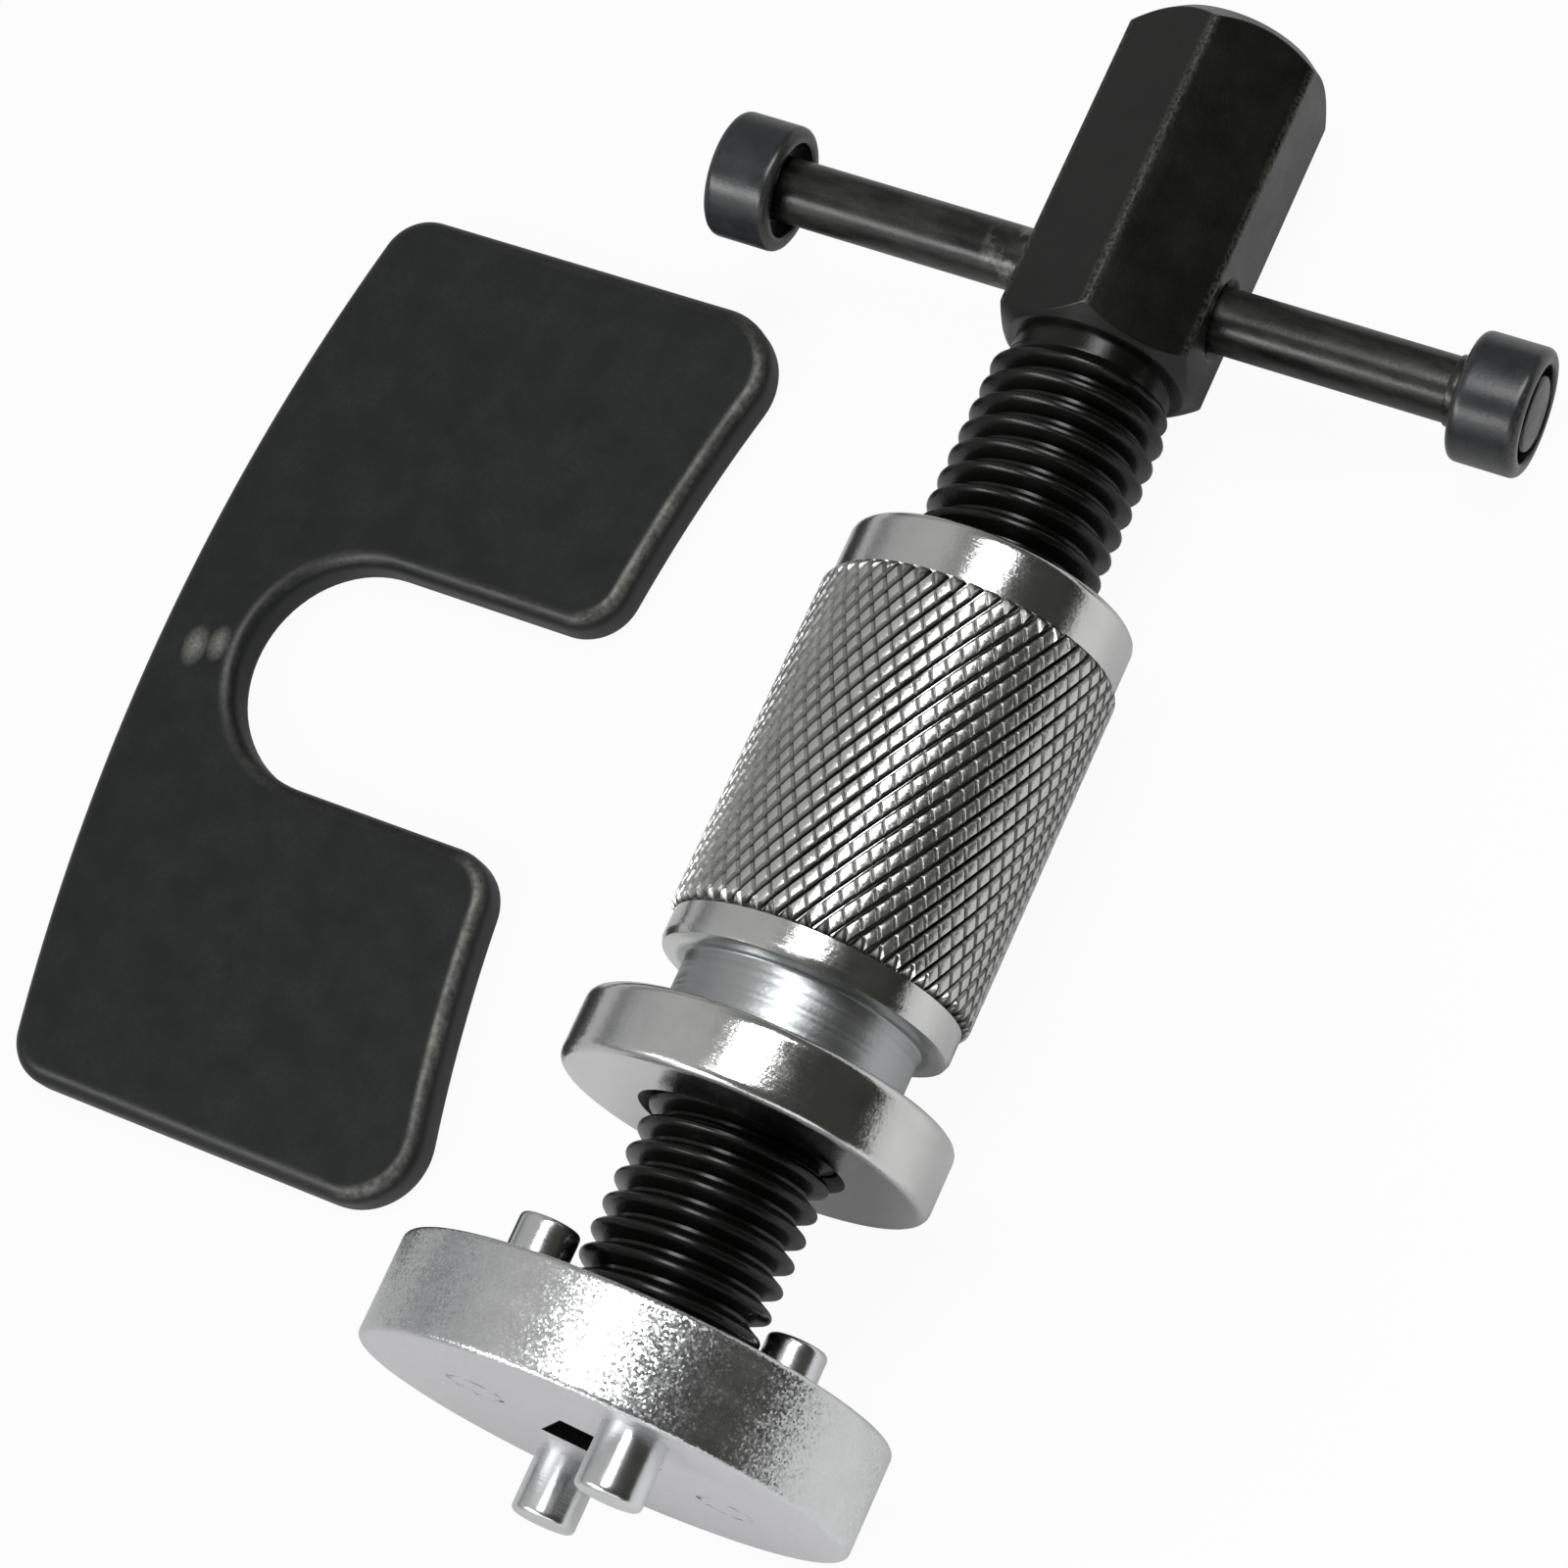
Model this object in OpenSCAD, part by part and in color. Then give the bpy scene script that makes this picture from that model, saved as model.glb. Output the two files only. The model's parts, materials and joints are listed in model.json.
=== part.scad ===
// Hand tool that winds brake caliper pistons back, lying on a bench.
// The tool is drawn along its own axis, with zero at the adaptor's outer face
// and the head at the top, and is then laid down on the rim of the adaptor and
// a corner of its head. The reaction plate lies flat beside it.

/* [Forcing screw] */
// Outside diameter of the thread
screw_d = 18; // [16:0.5:20]
// Length of the thread, from the adaptor to the relief under the head
screw_l = 97.5; // [92:0.5:130]
// Pitch of the thread
screw_pitch = 2.5; // [2:0.5:3]
// Depth of the thread
thread_depth = 1.5; // [0.8:0.1:1.6]
// Chamfer on the lower end of the thread
screw_chamfer = 1.2; // [0.5:0.1:2]
// Diameter of the relief under the head
relief_d = 16.8; // [14:0.1:17]
// Length of the relief
relief_l = 3.9; // [1.5:0.1:6]

/* [Hex head] */
// Width of the head across its flats
head_af = 19; // [18:1:24]
// Length of the head
head_l = 35.6; // [28:0.2:50]
// Diameter of the flat on top of the head
head_top_d = 16.4; // [12:0.2:18]
// Height of the bevel on the head's top corners
head_top_bevel = 2.4; // [0.8:0.1:4]
// Diameter of the head's round foot
head_foot_d = 17.8; // [14.5:0.1:18.4]
// Height of the bevel that runs from the foot to the corners
head_foot_bevel = 1.5; // [0.8:0.1:4]
// Height of the tommy bar's axis above the head's foot
bar_height = 8.5; // [7:0.1:16]
// Countersink at both mouths of the tommy bar's hole
bar_sink = 0.8; // [0.2:0.1:1.2]

/* [Tommy bar] */
// Diameter of the bar
bar_d = 6.4; // [5:0.1:8]
// Length of the bar over its end caps
bar_l = 83; // [60:0.2:140]
// Diameter of the end caps
cap_d = 12.5; // [10:0.1:16]
// Length of each end cap
cap_l = 6.8; // [4:0.1:12]
// Diameter of the recess in one face of each cap
cap_recess_d = 9.4; // [9:0.1:9.8]
// Depth of that recess
cap_recess = 1.6; // [0.8:0.1:3]
// Rounding of the cap's edges
cap_edge = 0.7; // [0.3:0.1:1]
// Diameter of the riveted end of the bar, in the right-hand cap's recess
rivet_d = 7.4; // [6.6:0.1:8.5]
// Diameter of the shoulder beside the right-hand cap
shoulder_d = 6.9; // [6.5:0.1:8.5]
// Length of the shoulder
shoulder_l = 1.3; // [0.6:0.1:3]

/* [Thrust sleeve] */
// Clear thread between the adaptor and the flange
sleeve_stand = 20; // [10:0.5:26]
// Diameter of the flange
flange_d = 36; // [30:0.5:44]
// Thickness of the flange
flange_t = 7; // [4:0.1:10]
// Rounding of the flange's rim
flange_edge = 1; // [0.3:0.1:1.8]
// Diameter of the neck that the reaction plate grips
neck_d = 23; // [21:0.1:23.5]
// Width of the groove around the neck
groove_w = 6.5; // [5.6:0.1:10]
// Diameter of the plain rings at both ends of the grip
ring_d = 28.3; // [26:0.1:29]
// Length of the lower ring
lower_ring_l = 3.3; // [2:0.1:6]
// Diameter of the knurled grip
grip_d = 29.4; // [28.5:0.1:34]
// Length of the knurled grip
grip_l = 35.2; // [25:0.2:40]
// Length of the upper ring
upper_ring_l = 5.3; // [3:0.1:8]
// Chamfer on the rings' edges
ring_chamfer = 0.8; // [0.2:0.1:1.5]
// Chamfer at both mouths of the sleeve's bore
mouth_chamfer = 1; // [0.4:0.1:2]

/* [Adaptor] */
// Diameter of the adaptor disc
disc_d = 47; // [46:0.5:60]
// Thickness of the disc
disc_t = 10; // [8:0.1:14]
// Rounding of the disc's rim
disc_edge = 0.6; // [0.3:0.1:2]
// Side of the screw's square drive
drive_s = 9.5; // [8:0.1:11]
// Length of the square drive
drive_l = 8.4; // [6.5:0.1:8.8]
// Bevel around the tip of the square drive
drive_bevel = 0.6; // [0.3:0.1:1]
// Diameter of the magnet in the tip of the drive
magnet_d = 6; // [4:0.1:7]
// Length of the magnet
magnet_l = 4; // [2:0.1:5]
// Diameter of the adaptor's pins
pin_d = 6; // [4:0.1:6.4]
// Height of the pins above the disc's faces
pin_out = 6; // [3:0.1:7]
// Width of the shoulder with which the pins sit on the disc
pin_step = 0.5; // [0.3:0.1:1]
// Bevel on the tips of the pins
pin_bevel = 0.5; // [0.2:0.1:1]
// Distance between the two pins on the screw's side
upper_pin_span = 24.4; // [24.2:0.2:30]
// Distance between the two pins on the piston's side
lower_pin_span = 33; // [24:0.5:34]

/* [Reaction plate] */
// Length of the plate
plate_l = 96.6; // [80:0.2:120]
// Width of the bowed plate, from its back to its front
plate_w = 45.8; // [40:0.2:60]
// Thickness of the plate
plate_t = 5.2; // [4:0.1:5.4]
// Radius of the bowed back
plate_bow = 212; // [150:1:400]
// Width of the slot that straddles the neck
slot_w = 24; // [24:0.1:30]
// Depth of the slot, measured from the front's middle
slot_l = 35.8; // [25:0.1:37]
// Radius of the back corners
back_corner_r = 5; // [2:0.5:10]
// Radius of the front corners
front_corner_r = 7; // [2:0.5:10]
// Radius of the corners at the slot's mouth
slot_corner_r = 5.5; // [1:0.5:8]

/* [Placement] */
// Slope of the tommy bar, right end down
bar_roll = 4.5; // [0:0.5:10]
// Shift of the tommy bar in the head, to the right
bar_shift = -0.8; // [-20:0.2:20]
// Turn of the adaptor about the screw
adaptor_turn = 59.6; // [0:0.2:90]
// Distance from the screw's axis to the plate's back
plate_back = 87.2; // [84:0.2:120]
// Distance from the adaptor's outer face to the plate's middle
plate_along = 63; // [50:0.2:64]
// Turn of the plate on the bench
plate_turn = -1.2; // [-3:0.1:3]

/* [Fits] */
// Radial clearance of the screw in the sleeve and of the bar in the head
run_gap = 0.08; // [0.02:0.01:0.1]
// Clearance on each side of the square drive
drive_gap = 0.08; // [0.05:0.01:0.2]
// Radial clearance of pieces that are pressed together
press_gap = 0.01; // [0.005:0.005:0.02]
// Glue line around the magnet
glue_gap = 0.05; // [0.02:0.01:0.1]

/* [Hidden] */
$fn = 96;

// Overshoot of cutters, so that no cut leaves a skin
eps = 1;

// Heights along the tool's axis
head_foot = disc_t + screw_l + relief_l;
head_top = head_foot + head_l;
bar_axis = head_foot + bar_height;
flange_foot = disc_t + sleeve_stand;
groove_foot = flange_foot + flange_t;
groove_top = groove_foot + groove_w;
grip_foot = groove_top + lower_ring_l;
grip_top = grip_foot + grip_l;
sleeve_top = grip_top + upper_ring_l;

// Width of the thread's crests, and the number of whole turns that fit on the shank
crest_w = screw_pitch / 8;
turns = floor((screw_l - screw_chamfer - crest_w) / screw_pitch);

// Radius over the head's corners
head_corner_r = head_af / sqrt(3);
hex_sides = 6;

// Ends of the bar, and the seat of its right-hand cap, along its axis
bar_left = bar_shift - bar_l / 2;
bar_right = bar_shift + bar_l / 2;
cap_seat = bar_right - cap_l;

// Where the tool touches the bench: the rounded upper edge of the disc's rim,
// and the corner of the head where its top bevel starts
rim_x = disc_t - disc_edge;
rim_r = disc_d / 2 - disc_edge;
corner_x = head_top - head_top_bevel;
corner_r = head_corner_r * cos(bar_roll);
rest_run = corner_x - rim_x;
rest_drop = rim_r - corner_r;
rest_slope = atan2(rest_drop, rest_run) + asin(disc_edge / norm([rest_run, rest_drop]));
axis_height = disc_edge + rim_r * cos(rest_slope) + rim_x * sin(rest_slope);

// The origin lies under the middle of the whole set
tool_x = (plate_back - bar_right) / 2;
reach_back = head_top * cos(rest_slope) + head_top_d / 2 * sin(rest_slope);
reach_front = pin_out * cos(rest_slope) + lower_pin_span / 2 * sin(rest_slope);
tool_y = (reach_front - reach_back) / 2;

// Centre of the plate's concentric bows, from the middle of its back
front_bow = plate_bow - plate_w;
slot_r = slot_w / 2;
slot_end = plate_w - slot_l + slot_r;

// Points of an arc of radius r about c, from angle a to angle b
function arc(c, r, a, b, steps) =
    [for (i = [0:steps]) c + r * [cos(a + (b - a) * i / steps), sin(a + (b - a) * i / steps)]];

// Centre of a corner fillet of radius r that touches a bow and a straight edge:
// bow_r is its distance from the bows' centre and y its distance from the slot's axis
function fillet_centre(bow_r, y) = [plate_bow - sqrt(bow_r * bow_r - y * y), y];

// Direction from the bows' centre to a point
function bow_angle(p) = atan2(p[1], p[0] - plate_bow);

// Lays a piece, drawn along the tool's axis, down on the bench
module laid() {
    translate([tool_x, tool_y, axis_height])
        rotate([-90 - rest_slope, 0, 0])
            children();
}

// Turns a piece about the axis as the head and its bar lie
module rolled() {
    laid()
        rotate([0, 0, bar_roll])
            children();
}

// Turns a piece about the axis as the adaptor lies, pins on the piston's side along X
module turned() {
    laid()
        rotate([0, 0, -adaptor_turn])
            children();
}

// Places a piece, drawn upward along Z, on the tommy bar's axis
module on_bar() {
    rolled()
        translate([0, 0, bar_axis])
            rotate([0, 90, 0])
                children();
}

// Cylinder with bevelled rims, standing on the origin
module bevelled(d, l, foot, top) {
    rotate_extrude()
        polygon([
            [0, 0], [d / 2 - foot, 0], [d / 2, foot],
            [d / 2, l - top], [d / 2 - top, l], [0, l]
        ]);
}

// Half profile of a ring with rounded outer edges, for a revolve
module rounded_ring(d, l, r) {
    square([d / 2 - r, l]);
    translate([0, r])
        square([d / 2, l - 2 * r]);
    for (y = [r, l - r])
        translate([d / 2 - r, y])
            circle(r);
}

module head_blank() {
    corner = head_corner_r + eps;
    top_run = (corner - head_top_d / 2) / (head_corner_r - head_top_d / 2);
    foot_run = (corner - head_foot_d / 2) / (head_corner_r - head_foot_d / 2);
    intersection() {
        translate([0, 0, head_foot])
            rotate([0, 0, 180 / hex_sides])
                cylinder(r = head_corner_r, h = head_l, $fn = hex_sides);
        rotate_extrude()
            polygon([
                [0, head_foot],
                [head_foot_d / 2, head_foot],
                [corner, head_foot + head_foot_bevel * foot_run],
                [corner, head_top - head_top_bevel * top_run],
                [head_top_d / 2, head_top],
                [0, head_top]
            ]);
    }
}

// Shank with one ring for each turn of the thread, standing on the origin
module ringed_shank() {
    crest_r = screw_d / 2;
    root_r = crest_r - thread_depth;
    groove_l = screw_pitch - crest_w;
    first = screw_chamfer + crest_w;
    rotate_extrude()
        polygon([
            [0, 0],
            [crest_r - screw_chamfer, 0],
            [crest_r, screw_chamfer],
            for (turn = [0:turns - 1], point = [[crest_r, 0], [root_r, groove_l / 2], [crest_r, groove_l]])
                [point[0], first + turn * screw_pitch + point[1]],
            [crest_r, screw_l],
            [0, screw_l]
        ]);
}

module drive_square(side, low, high) {
    translate([-side / 2, -side / 2, low])
        cube([side, side, high - low]);
}

module forcing_screw() {
    tip = disc_t - drive_l;
    bar_hole_r = bar_d / 2 + run_gap;
    color("#23262a") {
        difference() {
            union() {
                rolled()
                    head_blank();
                laid() {
                    translate([0, 0, disc_t])
                        ringed_shank();
                    translate([0, 0, disc_t + screw_l - eps])
                        cylinder(d = relief_d, h = relief_l + 2 * eps);
                }
                turned()
                    intersection() {
                        drive_square(drive_s, tip, disc_t + eps);
                        translate([0, 0, tip])
                            bevelled(drive_s * sqrt(2), drive_l + eps, drive_bevel, 0);
                    }
            }
            on_bar() {
                cylinder(r = bar_hole_r, h = 2 * head_af, center = true);
                for (turn = [0, 180])
                    rotate([turn, 0, 0])
                        translate([0, 0, head_af / 2 - bar_sink])
                            cylinder(r1 = bar_hole_r, r2 = bar_hole_r + bar_sink + eps, h = bar_sink + eps);
            }
            laid()
                translate([0, 0, tip - eps])
                    cylinder(r = magnet_d / 2 + glue_gap, h = magnet_l + glue_gap + eps);
        }
    }
}

module drive_magnet() {
    color("#8d9196")
        laid()
            translate([0, 0, disc_t - drive_l])
                cylinder(d = magnet_d, h = magnet_l);
}

module tommy_bar() {
    rivet_l = cap_recess;
    color("#26292b")
        on_bar()
            rotate_extrude()
                polygon([
                    [0, bar_left],
                    [bar_d / 2, bar_left],
                    [bar_d / 2, cap_seat - shoulder_l],
                    [shoulder_d / 2, cap_seat - shoulder_l],
                    [shoulder_d / 2, cap_seat],
                    [bar_d / 2, cap_seat],
                    [bar_d / 2, bar_right - rivet_l],
                    [rivet_d / 2, bar_right - rivet_l],
                    [rivet_d / 2, bar_right],
                    [0, bar_right]
                ]);
}

// Pressed-on cap of the bar, with its recess at the right-hand face
module bar_cap(left_face) {
    color("#26292b")
        on_bar()
            translate([0, 0, left_face])
                difference() {
                    rotate_extrude()
                        rounded_ring(cap_d, cap_l, cap_edge);
                    translate([0, 0, -eps])
                        cylinder(r = bar_d / 2 + press_gap, h = cap_l + 2 * eps);
                    translate([0, 0, cap_l - cap_recess])
                        cylinder(d = cap_recess_d, h = cap_recess + eps);
                }
}

module bar_cap_left() {
    bar_cap(bar_left);
}

module bar_cap_right() {
    bar_cap(cap_seat);
}

module thrust_sleeve() {
    bore_r = screw_d / 2 + run_gap;
    sleeve_l = sleeve_top - flange_foot;
    color("#c9ccd0")
        laid()
            difference() {
                union() {
                    translate([0, 0, flange_foot])
                        rotate_extrude()
                            rounded_ring(flange_d, flange_t, flange_edge);
                    translate([0, 0, groove_foot - eps])
                        cylinder(d = neck_d, h = groove_w + 2 * eps);
                    translate([0, 0, groove_top])
                        bevelled(ring_d, lower_ring_l + eps, ring_chamfer, 0);
                    translate([0, 0, grip_foot])
                        bevelled(grip_d, grip_l, (grip_d - ring_d) / 2, (grip_d - ring_d) / 2);
                    translate([0, 0, grip_top - eps])
                        bevelled(ring_d, upper_ring_l + eps, 0, ring_chamfer);
                }
                translate([0, 0, flange_foot - eps])
                    cylinder(r = bore_r, h = sleeve_l + 2 * eps);
                translate([0, 0, flange_foot - eps])
                    cylinder(r1 = bore_r + mouth_chamfer + eps, r2 = bore_r, h = mouth_chamfer + eps);
                translate([0, 0, sleeve_top - mouth_chamfer])
                    cylinder(r1 = bore_r, r2 = bore_r + mouth_chamfer + eps, h = mouth_chamfer + eps);
            }
}

module adaptor_disc() {
    hole_s = drive_s + 2 * drive_gap;
    hole_d = pin_d - 2 * pin_step + 2 * press_gap;
    color("#bfc2c4")
        turned()
            difference() {
                rotate_extrude()
                    rounded_ring(disc_d, disc_t, disc_edge);
                drive_square(hole_s, -eps, disc_t + eps);
                for (side = [-1, 1]) {
                    translate([side * lower_pin_span / 2, 0, -eps])
                        cylinder(d = hole_d, h = disc_t + 2 * eps);
                    translate([0, side * upper_pin_span / 2, -eps])
                        cylinder(d = hole_d, h = disc_t + 2 * eps);
                }
            }
}

// Pin with its shoulder on the origin and its pressed end below, through the disc
module shouldered_pin() {
    color("#b3b6ba") {
        bevelled(pin_d, pin_out, 0, pin_bevel);
        translate([0, 0, -disc_t])
            cylinder(d = pin_d - 2 * pin_step, h = disc_t + pin_out / 2);
    }
}

// Pin on the screw's side of the disc, on the given side of the axis
module upper_pin(side) {
    turned()
        translate([0, side * upper_pin_span / 2, disc_t])
            shouldered_pin();
}

// Pin on the piston's side of the disc, on the given side of the axis
module lower_pin(side) {
    turned()
        translate([side * lower_pin_span / 2, 0, 0])
            rotate([180, 0, 0])
                shouldered_pin();
}

module upper_pin_left() {
    upper_pin(-1);
}

module upper_pin_right() {
    upper_pin(1);
}

module lower_pin_front() {
    lower_pin(1);
}

module lower_pin_back() {
    lower_pin(-1);
}

// Upper half of the plate's outline, from the middle of its back to the slot
function half_plate() =
    let (
        end = plate_l / 2,
        back = fillet_centre(plate_bow - back_corner_r, end - back_corner_r),
        front = fillet_centre(front_bow + front_corner_r, end - front_corner_r),
        mouth = fillet_centre(front_bow + slot_corner_r, slot_r + slot_corner_r),
        centre = [plate_bow, 0]
    )
    concat(
        arc(centre, plate_bow, 180, bow_angle(back), 24),
        arc(back, back_corner_r, bow_angle(back), 90, 16),
        arc(front, front_corner_r, 90, bow_angle(front) - 180, 20),
        arc(centre, front_bow, bow_angle(front), bow_angle(mouth), 12),
        arc(mouth, slot_corner_r, bow_angle(mouth) - 180, -90, 14)
    );

module plate_outline() {
    half = half_plate();
    mirrored = [for (i = [len(half) - 1:-1:1]) [half[i][0], -half[i][1]]];
    difference() {
        polygon(concat(half, mirrored));
        translate([slot_end, -slot_r])
            square([plate_w, slot_w]);
        translate([slot_end, 0])
            circle(slot_r);
    }
}

module reaction_plate() {
    color("#2a2c2b")
        translate([tool_x - plate_back, tool_y + plate_along, 0])
            rotate([0, 0, plate_turn])
                linear_extrude(plate_t)
                    plate_outline();
}

forcing_screw();
drive_magnet();
tommy_bar();
bar_cap_left();
bar_cap_right();
thrust_sleeve();
adaptor_disc();
upper_pin_left();
upper_pin_right();
lower_pin_front();
lower_pin_back();
reaction_plate();
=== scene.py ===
import json
import math

import bpy
from mathutils import Matrix, Vector


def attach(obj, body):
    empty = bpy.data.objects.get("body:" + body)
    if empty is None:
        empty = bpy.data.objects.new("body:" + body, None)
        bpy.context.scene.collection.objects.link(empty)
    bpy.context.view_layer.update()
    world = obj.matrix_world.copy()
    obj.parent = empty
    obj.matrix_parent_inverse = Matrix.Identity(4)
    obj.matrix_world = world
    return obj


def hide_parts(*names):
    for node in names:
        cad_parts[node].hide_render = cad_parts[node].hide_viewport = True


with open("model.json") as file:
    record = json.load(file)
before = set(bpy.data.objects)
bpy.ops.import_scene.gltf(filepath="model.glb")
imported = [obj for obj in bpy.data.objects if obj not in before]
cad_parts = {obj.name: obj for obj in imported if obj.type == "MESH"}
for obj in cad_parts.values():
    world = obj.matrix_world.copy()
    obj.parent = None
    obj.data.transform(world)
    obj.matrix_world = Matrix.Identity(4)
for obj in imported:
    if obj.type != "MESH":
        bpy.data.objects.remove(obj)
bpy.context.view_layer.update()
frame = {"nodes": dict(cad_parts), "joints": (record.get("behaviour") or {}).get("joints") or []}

MM = 0.001
JOINTS = {joint["name"]: joint for joint in frame["joints"]}

# Sizes of the tool in millimetres, measured along its axis from the adaptor's outer face
SCREW_R, PITCH = 9.0, 2.5
ROOT_R, RELIEF_R = 7.5, 8.0
DISC_T, DISC_R, DISC_EDGE = 10.0, 23.5, 0.6
THREAD_TOP, HEAD_FOOT, HEAD_TOP = 109.9, 111.4, 147.0
HEAD_FLATS, HEAD_TOP_R, HEAD_TOP_BEVEL, HEAD_FOOT_R, HEAD_FOOT_BEVEL = 19.0, 8.2, 2.4, 8.9, 1.5
BAR_AXIS, BAR_R, BAR_HOLE_R, BAR_SINK = 119.9, 3.2, 3.28, 0.8
BAR_LEFT, BAR_RIGHT, CAP_L, CAP_R = -42.3, 40.7, 6.8, 6.25
CAP_EDGE, CAP_RECESS_R, CAP_RECESS, RIVET_R = 0.8, 4.7, 1.6, 3.7
SHOULDER_R, SHOULDER_L = 3.45, 1.3
FLANGE_FOOT, FLANGE_TOP, FLANGE_R, FLANGE_EDGE = 30.0, 37.0, 18.0, 1.0
NECK_R, GROOVE_TOP, RING_R, RING_EDGE, BORE_R = 11.5, 43.5, 14.15, 0.8, 9.08
NECK_LINES, LINE_HALF, LINE_DEEP = (37.9, 38.7, 39.9, 40.5, 41.7, 42.6), 0.12, 0.025
GRIP_FOOT, GRIP_TOP, GRIP_R, GRIP_ROOT_R, GRIP_STEP = 46.8, 82.0, 14.7, 13.9, 0.25
SLEEVE_TOP, BORE_CHAMFER = 87.3, 1.0
DRIVE_S, DRIVE_TIP, DRIVE_BEVEL, DRIVE_HOLE_S = 9.5, 1.6, 0.6, 9.66
MAGNET_HOLE_R, MAGNET_L = 3.05, 4.05
PIN_R, PIN_OUT, PIN_EDGE, PIN_SHANK_R, UPPER_PIN_AT, LOWER_PIN_AT = 3.0, 6.0, 0.55, 2.5, 12.2, 16.5
PLATE_T, PLATE_EDGE, PLATE_EDGE_STEPS = 5.2, 1.7, 6
# Flat border beside a rounded edge, which keeps the shading of the flat beyond it even
BORDER = 0.3
ADAPTOR_TURN = math.radians(-59.6)
# Steps around a turned piece that names no other number
ROUND = 128
# Depth in millimetres and strength of the grain on every surface
GRAIN_DEPTH, GRAIN_STRENGTH = 0.012, 0.5


def frame_at(place, *axes):
    """The frame that stands at place with the given X, Y and Z."""
    return Matrix.Translation(place) @ Matrix(axes).transposed().to_4x4()


# The tool's own frame: Z along its axis towards the head, X to the right
tool_axis = Vector(JOINTS["sleeve_turn"]["axis"]).normalized()
tool_base = Vector(JOINTS["sleeve_turn"]["pos_m"])
tool_side = Vector((1, 0, 0))
tool_down = tool_axis.cross(tool_side)
LAID = frame_at(tool_base, tool_side, tool_down, tool_axis)
bar_axis = Vector(JOINTS["bar_slide"]["axis"]).normalized()
BAR_ROLL = math.atan2(bar_axis.dot(tool_down), bar_axis.dot(tool_side))
ROLLED = LAID @ Matrix.Rotation(BAR_ROLL, 4, "Z")
TURNED = LAID @ Matrix.Rotation(ADAPTOR_TURN, 4, "Z")
ACROSS = Matrix.Translation((0, 0, BAR_AXIS * MM)) @ Matrix.Rotation(math.radians(90), 4, "Y")
ON_BAR = ROLLED @ ACROSS


# Modelling steps

def only(obj):
    bpy.ops.object.select_all(action="DESELECT")
    obj.select_set(True)
    bpy.context.view_layer.objects.active = obj


def edit(obj):
    only(obj)
    bpy.ops.object.mode_set(mode="EDIT")
    bpy.ops.mesh.select_mode(type="VERT")
    bpy.ops.mesh.select_all(action="DESELECT")


def done():
    bpy.ops.object.mode_set(mode="OBJECT")


def named(name):
    obj = bpy.context.object
    obj.name = obj.data.name = name
    return obj


def drawn_profile(name, points):
    """A chain of edges through points (radius, height), extruded from a single vertex."""
    bpy.ops.object.select_all(action="DESELECT")
    bpy.ops.mesh.primitive_plane_add(size=MM)
    obj = named(name)
    edit(obj)
    bpy.ops.mesh.select_all(action="SELECT")
    bpy.ops.mesh.merge(type="CENTER")
    at = (0.0, 0.0)
    for step, point in enumerate(points):
        move = ((point[0] - at[0]) * MM, 0, (point[1] - at[1]) * MM)
        if step:
            bpy.ops.mesh.extrude_region_move(TRANSFORM_OT_translate={"value": move})
        else:
            bpy.ops.transform.translate(value=move)
        at = point
    done()
    return obj


def tidy_shell(obj):
    edit(obj)
    bpy.ops.mesh.select_all(action="SELECT")
    bpy.ops.mesh.remove_doubles(threshold=0.002 * MM)
    bpy.ops.mesh.dissolve_degenerate(threshold=0.001 * MM)
    bpy.ops.mesh.normals_make_consistent(inside=False)
    done()


def turned_on_lathe(name, points, steps=ROUND):
    obj = drawn_profile(name, points)
    edit(obj)
    bpy.ops.mesh.select_all(action="SELECT")
    bpy.ops.mesh.spin(steps=steps, angle=2 * math.pi, center=(0, 0, 0), axis=(0, 0, 1))
    done()
    tidy_shell(obj)
    return obj


def pick_edges(obj, wanted):
    """Selects, in edit mode, the edges whose two ends pass wanted(end, other_end)."""
    done()
    for edge in obj.data.edges:
        ends = [obj.data.vertices[i].co for i in edge.vertices]
        edge.select = wanted(*ends)
    bpy.ops.object.mode_set(mode="EDIT")
    bpy.ops.mesh.select_mode(type="EDGE")


def pick_faces(obj, wanted):
    """Selects, in edit mode, the faces that pass wanted(face)."""
    bpy.ops.mesh.select_mode(type="FACE")
    bpy.ops.mesh.select_all(action="DESELECT")
    done()
    for face in obj.data.polygons:
        face.select = wanted(face)
    bpy.ops.object.mode_set(mode="EDIT")


def round_rings(obj, rings):
    """Bevels rings of edges of a turned piece: each ring is (radius, height, width, segments)."""
    for radius, height, width, segments in rings:
        def on_ring(a, b):
            return all(abs(math.hypot(v.x, v.y) - radius * MM) < 0.02 * MM
                       and abs(v.z - height * MM) < 0.02 * MM for v in (a, b))
        edit(obj)
        pick_edges(obj, on_ring)
        bpy.ops.mesh.bevel(offset=width * MM, segments=segments, affect="EDGES")
        done()


def apply_modifier(obj, kind, **settings):
    only(obj)
    bpy.ops.object.modifier_add(type=kind)
    modifier = obj.modifiers[-1]
    for key, value in settings.items():
        setattr(modifier, key, value)
    bpy.ops.object.modifier_apply(modifier=modifier.name)


def cut(obj, tool, operation="DIFFERENCE"):
    apply_modifier(obj, "BOOLEAN", object=tool, operation=operation, solver="EXACT")
    bpy.data.objects.remove(tool)


def copied(obj, name):
    only(obj)
    bpy.ops.object.duplicate()
    return named(name)


def placed(obj, matrix):
    """Puts a piece in its place, with the place in its mesh and the object at the origin."""
    obj.matrix_world = matrix
    only(obj)
    bpy.ops.object.transform_apply(location=True, rotation=True, scale=True)
    return obj


def finished(obj, body, nodes, material, sharp=35):
    only(obj)
    bpy.ops.object.shade_smooth_by_angle(angle=math.radians(sharp))
    obj.data.materials.clear()
    obj.data.materials.append(material)
    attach(obj, body)
    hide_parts(*nodes)


# Material building blocks

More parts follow.
